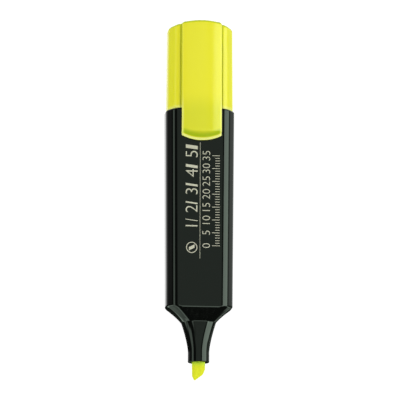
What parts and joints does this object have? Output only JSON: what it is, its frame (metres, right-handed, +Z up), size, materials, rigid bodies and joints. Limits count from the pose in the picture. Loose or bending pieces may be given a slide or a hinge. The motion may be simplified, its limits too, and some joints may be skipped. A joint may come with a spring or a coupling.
{
  "type": "highlighter",
  "caption": "Flat-sided chisel-tip highlighter lying on its back, with its cap posted on the rear end and a pocket clip over the barrel.",
  "frame": {"origin": "middle of the whole pen, with the cap posted, on the flat surface that its back lies on", "axes": "+Y along the pen from the nib to the cap's crown, +Z up through the front face and the clip, +X to the right of a reader who looks down on the clip with the cap at the top"},
  "size_m": [0.0266, 0.1388, 0.0194],
  "materials": {
    "barrel_black": "glossy moulded black",
    "plug_black": "satin moulded black",
    "cap_yellow": "glossy translucent fluorescent yellow",
    "liner_plastic": "satin, slightly translucent",
    "nib_felt": "fibre soaked with fluorescent ink",
    "reservoir_fibre": "bonded fibre soaked with fluorescent ink",
    "reservoir_film": "thin clear film",
    "print_foil": "hot-stamped satin gold foil"
  },
  "bodies": {
    "body": {"barrel": "barrel_black", "rear_plug": "plug_black", "chisel_nib": "nib_felt", "ink_reservoir": "reservoir_fibre", "reservoir_wrap": "reservoir_film"},
    "cap": {"cap_shell": "cap_yellow", "inner_cap": "liner_plastic"},
    "clip": {"pocket_clip": "cap_yellow"}
  },
  "joints": [
    {"name": "cap_slide", "type": "slide", "parent": "body", "child": "cap", "axis": [0, 1, 0], "range_m": [0, 0.045]},
    {"name": "clip_flex", "type": "hinge", "parent": "cap", "child": "clip", "pos_m": [0, 0.0604, 0.0178], "axis": [-1, 0, 0], "range_deg": [0, 4], "stiffness_Nm_per_rad": 0.59}
  ]
}
